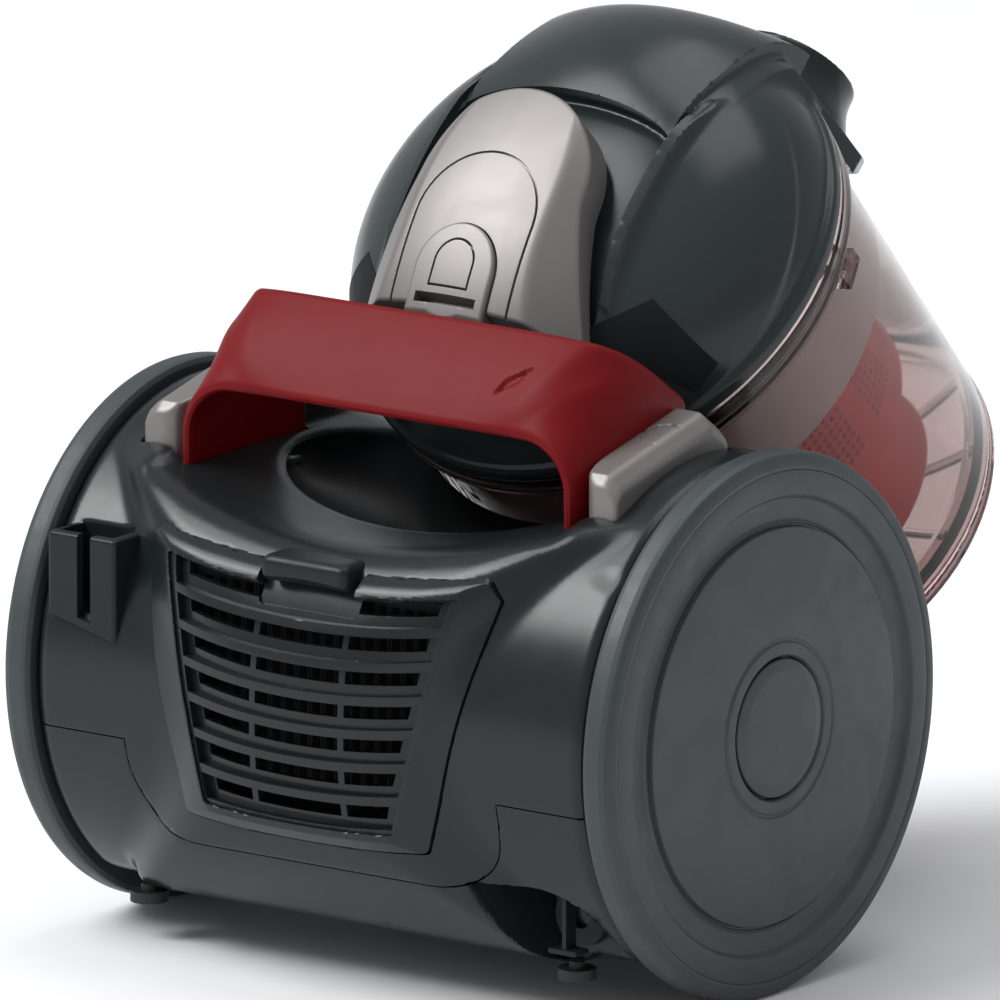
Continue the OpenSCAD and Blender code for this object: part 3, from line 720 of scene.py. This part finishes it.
def handle_strap():
    """A broad strap that rises from both sides of the deck and crosses between them, leaning forward."""
    def rear_edge(t):
        # up the left leg, round the corner and across to the middle
        radius = 20
        leg, corner, across = 208 - radius - 163, radius * math.pi / 2, 86.3 - radius
        s = t * (leg + corner + across)
        if s < leg:
            return (-86.3, -54.5, 163 + s)
        if s < leg + corner:
            a = (s - leg) / radius
            return (-across - radius * math.cos(a), -54.5, 208 - radius + radius * math.sin(a))
        return (-across + s - leg - corner, -54.5, 208)

    front_knots = [(0.0, -86.3, 12, 163), (0.26, -86.3, 12, 208), (0.36, -85.8, 1, 219), (0.46, -82, -15, 230.5),
                   (0.56, -73, -26.5, 236.5), (0.68, -56, -29, 237.5), (1.0, 0, -29, 237.5)]
    stations = 141
    across = 41
    knots = np.array(front_knots)
    ts = np.linspace(0, 1, stations)
    front = np.stack([smooth_through(knots[:, 0], knots[:, k], ts) for k in (1, 2, 3)], 1)
    rear = np.array([rear_edge(t) for t in ts])
    share = np.linspace(0, 1, across)
    half = rear[:, None] * (1 - share)[None, :, None] + front[:, None] * share[None, :, None]
    other = half[::-1][1:] * np.array([-1, 1, 1])
    grid = np.concatenate([half, other])
    along = np.gradient(grid, axis=0)
    over = np.gradient(grid, axis=1)
    normal = np.cross(over, along)
    normal /= np.linalg.norm(normal, axis=2, keepdims=True)
    # crowned across its width, most of all at the corners
    corner = np.exp(-((ts - 0.43) / 0.15) ** 2)
    height = 1.6 + 4.8 * np.concatenate([corner, corner[::-1][1:]])
    crown = height[:, None] * (1 - (2 * share - 1) ** 2)[None, :]
    grid = grid - normal * crown[:, :, None]
    # pressed mark: a slanted lozenge on the right half
    x, level = grid[:, :, 0], share[None, :]
    mark = np.abs(x - 54 - 34 * (level - 0.47)) / 3.6 + np.abs(level - 0.47) / 0.2
    grid = grid + normal * (1.3 * ease(-mark, -1.0, -0.6))[:, :, None]
    return slab(grid, normal, STRAP_HALF)


def smooth_through(knots, values, at):
    """A smooth curve through the values at the knots (monotone cubic)."""
    width = np.diff(knots)
    rise = np.diff(values) / width
    slopes = np.zeros(len(knots))
    for i in range(1, len(knots) - 1):
        if rise[i - 1] * rise[i] > 0:
            slopes[i] = 2 * rise[i - 1] * rise[i] / (rise[i - 1] + rise[i])
    slopes[0] = rise[0]
    k = np.clip(np.searchsorted(knots, at, side="right") - 1, 0, len(width) - 1)
    t = (at - knots[k]) / width[k]
    return ((2 * t**3 - 3 * t**2 + 1) * values[k] + (t**3 - 2 * t**2 + t) * width[k] * slopes[k]
            + (3 * t**2 - 2 * t**3) * values[k + 1] + (t**3 - t**2) * width[k] * slopes[k + 1])


def pedal(x, y, z):
    """The right-hand foot pedal: a crowned, chamfered cap on a round stem."""
    top = np.minimum(197.5 + (y + 50) * 0.2386, 210.2 - (y - 4) * 0.72)
    top = np.minimum(top, 193.5 + (y + 54.5) * 1.1)
    plan = meet(meet(between(x, *PEDAL_X), between(y, *PEDAL_Y), 2.5), -(x - 89.3) - (y + 54.5) * 0.6 + 5, 4)
    bevel = (x - 107 + z - top + 5.5) * 0.707
    cap = meet(meet(plan, (z - top) * 0.93, 1.4), bevel, 1.2)
    cap = meet(cap, 174 - z, 1)
    ring = np.abs(np.hypot(x - 98.5, (y + 16) * 0.97) - 7.6) - 0.35
    cap = cut(cap, meet(ring, top - 0.5 - z), 0.2)
    stem = meet(np.hypot(x - 98, y + 46) - 2.5, 163 - z)
    return join(cap, meet(stem, z - 180), 1)


# ---------- wheels ----------


def wheel_disc():
    """Outline of the right wheel: rim, channel, cover disc and hub, as (distance from the middle, radius)."""
    return rounded([
        (128.5, 6.06, 0), (128.5, 14, 0), (125.6, 14, 0), (125.6, 16, 0), (130.5, 20, 2), (130.5, 80, 2),
        (126, 86, 2), (126, 93.4, 0), (136.9, 93.4, 0.2), (137.3, 90, 0), (137.2, 84.4, 1.4), (134.9, 82.8, 1.6),
        (134.6, 75.2, 1.0), (135.6, 74.2, 0.3), (134.8, 73.8, 0.2), (134.8, 73.1, 0.2), (137.2, 72.7, 0.5),
        (138.5, 58, 0), (139.3, 42, 0), (139.6, 33.2, 0.3), (139.1, 32.4, 0.3), (139.1, 31.8, 0.3),
        (139.8, 31, 0.4), (139.9, 26.9, 0.5), (138.6, 26, 0.4), (136.5, 25.9, 0), (136.5, 14, 0), (132.5, 14, 0),
        (132.5, 6.06, 0)])


def wheel_tyre():
    """Outline of the soft tread round the disc."""
    return rounded([
        (125, 93.5, 0), (125, 97.8, 0.8), (126.2, 99.6, 1.0), (128, 100, 0.5), (133, 100, 1.5), (135.2, 99.3, 1.5),
        (136.6, 97.6, 1.2), (137.1, 95, 0.8), (137.0, 93.5, 0.2)])


def wheel_hub_cap():
    """Outline of the low, crowned cap over the axle."""
    return rounded([
        (136.5, 0.02, 0), (136.5, 25.3, 0), (139.7, 25.3, 0.7), (140.6, 21, 0.6), (141.0, 12, 0), (141.2, 0.02, 0)])


def about_axle(shape):
    """Lifts a lathed shape to the wheel axle."""
    points, faces = shape
    return np.array(points) + np.array([0, 0, AXLE_Z]), faces


# ---------- dust bin ----------


def along_bin(shape):
    """Turns a lathed shape, whose axis is x, so that its axis is the bin's w."""
    points, faces = shape
    x, y, z = np.array(points).T
    return np.stack([y, z, x], 1), faces


NOTCH_ANGLE = math.radians(43.5)
NOTCH_R = 93.9


def bin_jar():
    """Tapered clear wall with a grooved flange at the top, which is cut back where the cap's shield comes down."""
    outline = rounded([
        (-158, 81.4, 0.5), (-158, 83.6, 0.8), (-15.8, 91.1, 0.4), (-15.2, 93.6, 0.5), (-13.4, 93.6, 0.5),
        (-12.8, 91.4, 0.4), (-10.8, 91.8, 0.4), (-10.4, 96.4, 0.6), (-1.6, 96.4, 0.6), (-1.6, 94, 0.4),
        (-8.4, 93.6, 0.6), (-8.6, 88.9, 0.4)])
    points, faces = along_bin(lathe(outline, 240))
    x, v, _ = points.T
    radius = np.hypot(x, v)
    notched = (np.arctan2(np.abs(x), v) < NOTCH_ANGLE) & (radius > NOTCH_R)
    points[notched, :2] *= (NOTCH_R / radius[notched])[:, None]
    return points, faces


def bin_lugs(x, v, w):
    """Bayonet lugs that lock the cap, one on each side."""
    radius = np.hypot(x, v)
    around = np.degrees(np.arctan2(v, np.abs(x)))
    body = meet(meet(between(around, 9, 17) * 1.6, meet(radius - 97.4, 91 - radius)), between(w, -20, -11.2), 1.2)
    return cut(body, meet(meet(between(around, 11, 15) * 1.6, 95 - radius), -17 - w), 0.4)


def bin_lid_form(x, v, w):
    """Clear lid: flat rim, raised ring, ribs like spokes and a boss in the middle."""
    radius = np.hypot(x, v)
    plate = meet(radius - 83.4, between(w, -163.4, -160.8), 0.5)
    ring = meet(meet(radius - 74.2, 71.4 - radius), between(w, -162, -153), 0.6)
    rim = meet(meet(radius - 83.4, 80.8 - radius), between(w, -163, -158.8), 0.6)
    angle = np.arctan2(v, x)
    spoke = radius * np.abs(np.sin((angle * 6 + math.pi / 2) % math.pi - math.pi / 2)) / 6 - 1.0
    ribs = meet(meet(spoke, meet(radius - 72, 12 - radius)), between(w, -162, -157.4), 0.5)
    boss = meet(radius - 13, between(w, -163, -157), 1.0)
    solid = join(join(join(plate, ring, 1.2), rim, 1), join(ribs, boss, 1.5), 0.8)
    ear = meet(meet(np.abs(x) - 19.2, between(v, -91, -80)), between(w, -163.4, -160.6), 0.6)
    return cut(join(solid, ear, 0.8), np.hypot(v - HINGE_V, w - HINGE_W) - 1.7, 0.2)


def shroud(x, v, w):
    """Perforated sleeve: groups of small round holes between plain bands."""
    radius = np.hypot(x, v)
    sleeve = meet(meet(radius - 66, 63.2 - radius), between(w, -112, -7), 0.8)
    foot = meet(meet(radius - 66, 44 - radius), between(w, -112.2, -109.6), 0.8)
    across = np.arctan2(v, x) * 66
    group = (across + 6 * HOLE_PITCH) % (9 * HOLE_PITCH)
    row = (w + 40) % HOLE_PITCH - HOLE_PITCH / 2
    hole = np.hypot((across % HOLE_PITCH) - HOLE_PITCH / 2, row) - 1.15
    holes = np.maximum(hole, np.maximum(group - 6 * HOLE_PITCH, between(w, -40 - 17 * HOLE_PITCH, -40)))
    return cut(join(sleeve, foot, 0.8), np.maximum(holes, 60 - radius), 0.15)


def skirt():
    """Outline of the flared skirt that hangs under the shroud."""
    return rounded([(-92, 28.5, 0), (-92, 30.5, 0.5), (-111, 42.4, 2), (-113, 43.4, 1), (-150, 56.6, 1.5),
                    (-152, 57, 0.8), (-152, 54.6, 0.6), (-149.6, 54.2, 1), (-112.6, 40.8, 2)])


def band():
    """Outline of the plain band round the inlet, just inside the clear wall."""
    return rounded([(-12, 87.2, 0.3), (-12, 89, 0.3), (-51.8, 87, 0.4), (-52.4, 86.4, 0.4), (-52.4, 85, 0.4)])


def cap_dome(x, v, w):
    """The cap's plain dome, a little squarer than an ellipsoid."""
    level = ((np.hypot(x, v) / 94.5) ** 2.15 + (np.abs(w) / 60) ** 2.15) ** (1 / 2.15)
    return (level - 1) * (60 + 30 * ease(np.hypot(x, v), 30, 94))


def hood_top(x, v, w):
    """Distance above the crowned top of the hood."""
    run = np.clip((v - 20) / 79, 0, None) ** 2.5
    crown = 0.0032 + 0.003 * ease(v, 25, 75)
    rise = np.clip((w + crown * x * x) / 59.5, 0, None) ** 2.2
    return ((run + rise) ** (1 / 2.3) - 1) * 60


def cap_hood(x, v, w):
    """The crowned cover over the front of the dome, whose arched lip stands over the grip."""
    lip = 22 + 12.5 * np.sqrt(np.clip(1 - (x / 47) ** 2, 0, 1)) - v
    side = np.abs(x) - 46 + np.maximum(v - 60, 0) * 0.05
    return meet(meet(hood_top(x, v, w), side), lip)


def cap_shield(x, v, w):
    """Front of the cap, which comes down over the bin and carries the hose port."""
    face = (v + 0.0052 * x * x - 97.3) * 0.9
    side = 0.932 * np.abs(x) + 0.225 * v + 0.284 * w - 72.6
    foot = (-77 + 0.0115 * x * x - w) * 0.7
    shield = meet(meet(face, side), meet(foot, meet(hood_top(x, v, w) + 4.5, 40 - v)))
    return cut(shield, meet(np.hypot(x, v) - 94.4, w))


# outline and facing of the black sheets: painted shade on the dome's lower rear
SHADE_SHEET_FACING = np.array([0.606, -0.553, 0.57])
SHADE_SHEET_CORNERS = np.array([(42, -56, 43), (64, -35, 40), (83, -42, 13), (77, -53, 9)], float)


def shade_sheet_outline(x, v, w):
    """Distance outside the four-sided outline of the black sheets of painted shade, which lie low on both sides of
    the grip.
    """
    centre = SHADE_SHEET_CORNERS.mean(axis=0)
    outline = -1e3
    for i, corner in enumerate(SHADE_SHEET_CORNERS):
        side = np.cross(SHADE_SHEET_CORNERS[(i + 1) % 4] - corner, SHADE_SHEET_FACING)
        side *= -np.sign(side @ (centre - corner)) / np.linalg.norm(side)
        edge = side[0] * (np.abs(x) - corner[0]) + side[1] * (v - corner[1]) + side[2] * (w - corner[2])
        outline = np.maximum(outline, edge)
    return outline


def bin_cap(x, v, w):
    """Dome with a channel and ribs beside the grip, a hood in front, a rim and a shield."""
    dome = cap_dome(x, v, w)
    ax = np.abs(x)
    radius = np.hypot(x, v)
    # low step that follows the rim on both sides, and fades out along it
    step_w = 15 + (v - 6) * 0.22
    fade = ease(v, -40, 0) * ease(-v, -60, -35) * ease(ax, 50, 70)
    shell = dome + 0.9 * fade * ease(step_w - w, -1.8, 1.8)
    # channel on both sides of the grip, between ribs that run back from the hood
    channel = meet(meet(ax - 47.8, between(v, -60, 42), 5), -6 - dome)
    shell = cut(shell, channel)
    rib = meet(meet(between(ax, 47.8, 51.6), between(v, -46, 48), 5), dome - 4.2 * ease(-np.abs(v), -50, -25))
    shell = join(shell, meet(rib, 20 - w), 1.8 + 2 * ease(ax, 50, 51))
    shell = join(shell, cap_hood(x, v, w), 1.8)
    shell = join(shell, meet(radius - 96.8, w - 5.4, 2), 2)
    shell = cut(shell, dome + 10)
    return join(meet(shell, 0.3 - w), cap_shield(x, v, w), 1.8)


def cap_shade_sheet(x, v, w):
    """Black sheet let into the dome on both sides: painted shade on the dome's lower rear, which faces down and
    back.
    """
    dome = cap_dome(x, v, w)
    return meet(meet(dome - 0.4, -3 - dome), shade_sheet_outline(x, v, w))


def grip_form(x, v, w):
    """The grip's outer form, and the distance from its crown."""
    crown = (np.sqrt((x / 118) ** 2 + (v / 118) ** 2 + (w / 78) ** 2) - 1) * 78
    sides = np.abs(x) - 36 + (v + 14) * 0.269
    outline = join(meet(sides * 0.966, v + 14), np.hypot(x, v + 14) - 36.4, 1)
    outline = meet(outline, -66 - v, 2)
    # chamfer along both sides, wider towards the rear
    width = 5 + 11 * ease(-v, -5, 66)
    bevel = (crown + 0.6 * (sides * 0.966 + width)) * 0.86
    return meet(meet(crown, outline, 0.9), bevel, 0.9), crown


def button_edge(x, v):
    """Outline of the release button: a round end and straight sides."""
    return join(np.hypot(x, v + 54) - 17.5, meet(np.abs(x) - 17.5, between(v, -70, -54)))


def cap_grip(x, v, w):
    """Grip with an arched groove on its top and a seat for the button."""
    solid, crown = grip_form(x, v, w)
    solid = cut(solid, cap_dome(x, v, w) + 0.2)
    arch = join(np.hypot(x, v + 33) - 26, meet(np.abs(x) - 26, v + 33))
    groove = meet(np.abs(arch) - 0.5, -1.4 - crown)
    solid = cut(solid, groove)
    solid = cut(solid, meet(button_edge(x, v) - 0.6, -9 - crown))
    return meet(solid, -w)


def release_button(x, v, w):
    """Button with an arched mark and a slot for a fingertip."""
    _, crown = grip_form(x, v, w)
    edge = button_edge(x, v)
    top = crown - 1.6
    solid = meet(meet(edge, top, 1.2), -(crown + 6))
    mark = join(np.hypot(x, v + 51.5) - 8.5, meet(np.abs(x) - 8.5, between(v, -60.2, -51.5)))
    solid = cut(solid, meet(np.abs(mark) - 0.45, -2.6 - crown))
    slot = meet(between(v, -66.5, -63), meet(np.abs(x) - 13.5, -4 - crown))
    return cut(solid, slot)


def hose_port(x, v, w):
    """Flared tube that takes the hose end."""
    across = np.hypot(x, w + 49)
    outer = 24.3 + 5.7 * (1 - ease(v, 97, 119)) ** 1.5
    tube = meet(meet(across - outer, v - 120, 1.2), 94.3 - v)
    return cut(tube, across - 19.5, 0.8)


# ---------- making ----------

SLIVER = 0.012


def soften_slivers(piece, step):
    """Keeps tiny faces out of the shading: none makes a sharp edge, and normals follow the larger faces."""
    mesh = piece.data
    areas = np.empty(len(mesh.polygons))
    mesh.polygons.foreach_get("area", areas)
    corners = np.empty(len(mesh.polygons), np.int32)
    mesh.polygons.foreach_get("loop_total", corners)
    edges = np.empty(len(mesh.loops), np.int32)
    mesh.loops.foreach_get("edge_index", edges)
    least = np.full(len(mesh.edges), np.inf)
    np.minimum.at(least, edges, np.repeat(areas, corners))
    sharp = np.empty(len(mesh.edges), bool)
    mesh.edges.foreach_get("use_edge_sharp", sharp)
    mesh.edges.foreach_set("use_edge_sharp", sharp & (least > SLIVER * (step * MM) ** 2))
    add_modifier(piece, "WEIGHTED_NORMAL", mode="FACE_AREA", keep_sharp=True)
    return piece


def contour_piece(name, field, low, high, step, place, material, body, stands_for, sharp=38):
    shape = contour(field, low, high, step)
    return soften_slivers(make_piece(name, shape, place, MATERIALS[material], body, stands_for, sharp), step)


def make_body():
    contour_piece("upper_housing", upper_shell, (-127, -112, 44), (127, 102, 202), 1.6, from_axle, "gloss",
                  "chassis", ("upper_shell",))
    contour_piece("lower_housing", lower_shell, (-127, -112, 14), (127, 217, 86), 1.6, from_axle, "gloss",
                  "chassis", ("lower_shell",))
    contour_piece("nose_cover", front_cover, (-90, 86, 30), (90, 217, 54), 1.6, from_axle, "gloss",
                  "chassis", ("front_cover",))
    contour_piece("bay_rib", bay_rib, (92, -80, 23), (108, -68, 54), 0.5, from_axle, "body",
                  "chassis", ())
    contour_piece("parking_holder", parking_socket, (-121, -99, 104), (-84, -66, 158), 0.8, from_axle, "body",
                  "chassis", ("parking_socket",))


def make_exhaust():
    contour_piece("exhaust_grille", exhaust_cover, (-82, -113, 54), (82, -76, 168), 0.65, from_axle, "gloss",
                  "exhaust_cover", ("exhaust_cover",))
    contour_piece("grille_latch", latch_tab, (-22, -102, 140), (22, -79, 163), 0.7, from_axle, "body",
                  "cover_latch", ("cover_latch",))


def make_controls():
    make_piece("handle_strap", handle_strap(), from_axle, MATERIALS["red"], "chassis",
               ("carry_handle",))
    shape = contour(pedal, (87, -57, 161), (109, 17, 213), 0.8)
    make_piece("rewind_pedal_cap", shape, from_axle, MATERIALS["silver"], "rewind_pedal",
               ("rewind_pedal",))
    make_piece("power_pedal_cap", mirrored(shape), from_axle, MATERIALS["silver"], "power_pedal",
               ("power_pedal",))


def make_wheels():
    parts = (("disc", "wheel", wheel_disc, "wheel", "wheel_plastic"),
             ("tread", "tyre", wheel_tyre, "tyre", "tyre_rubber"),
             ("hub", "hub_cap", wheel_hub_cap, "wheel", "wheel_plastic"))
    for side in ("right", "left"):
        for name, node, outline, material, slot in parts:
            shape = about_axle(lathe(outline(), 180))
            if side == "left":
                shape = mirrored(shape)
            make_piece(f"{side}_wheel_{name}", shape, from_axle, MATERIALS[material], f"{side}_wheel",
                       (f"{side}_{node}",), 25)


def make_bin():
    make_piece("bin_jar", bin_jar(), from_bin, MATERIALS["clear"], "dust_bin", ("bin_vessel",), 30)
    contour_piece("bin_lugs", bin_lugs, (-99, 8, -22), (99, 32, -9), 0.6, from_bin, "clear",
                  "dust_bin", ())
    contour_piece("lid_plate", bin_lid_form, (-86, -93, -165), (86, 86, -151), 0.9, from_bin, "clear",
                  "bin_lid", ("bin_lid",))
    contour_piece("shroud_sleeve", shroud, (-68, -68, -114), (68, 68, -5), 0.8, from_bin, "cyclone",
                  "dust_bin", ("cyclone_shroud",))
    make_piece("shroud_skirt", along_bin(lathe(skirt(), 144)), from_bin, MATERIALS["cyclone"], "dust_bin",
               ("lower_cone",), 30)
    make_piece("inlet_band", along_bin(lathe(band(), 180)), from_bin, MATERIALS["band"], "dust_bin",
               ("cyclone_band",), 30)


def make_cap():
    contour_piece("cap_dome", bin_cap, (-100, -100, -80), (100, 102, 64), 1.1, from_bin, "cap",
                  "bin_cap", ("bin_cap",), 60)
    # black sheets on the dome: painted shade
    contour_piece("cap_shade_sheets", cap_shade_sheet, (-94, -80, -4), (94, -8, 56), 0.7, from_bin, "black",
                  "bin_cap", ())
    contour_piece("grip_panel", cap_grip, (-54, -70, -2), (54, 26, 80), 0.55, from_bin, "silver",
                  "bin_cap", ("cap_grip",))
    contour_piece("button_cap", release_button, (-19, -73, 40), (19, -34, 82), 0.45, from_bin, "silver",
                  "release_button", ("release_button",))
    contour_piece("port_tube", hose_port, (-33, 92, -82), (33, 123, -16), 1.0, from_bin, "gloss",
                  "bin_cap", ("hose_port",))


def make_floor():
    mesh = bpy.data.meshes.new("floor")
    half = 12.0
    mesh.from_pydata([(-half, -half, 0), (half, -half, 0), (half, half, 0), (-half, half, 0)], [], [(0, 1, 2, 3)])
    mesh.materials.append(surface("studio_floor", (0.86, 0.87, 0.88, 1), 0.7, tone=0.01, grain=0.0001))
    floor = bpy.data.objects.new("floor", mesh)
    bpy.context.scene.collection.objects.link(floor)


make_camera()
make_lights()
dress_cad_nodes()
make_floor()
make_body()
make_exhaust()
make_controls()
make_wheels()
make_bin()
make_cap()
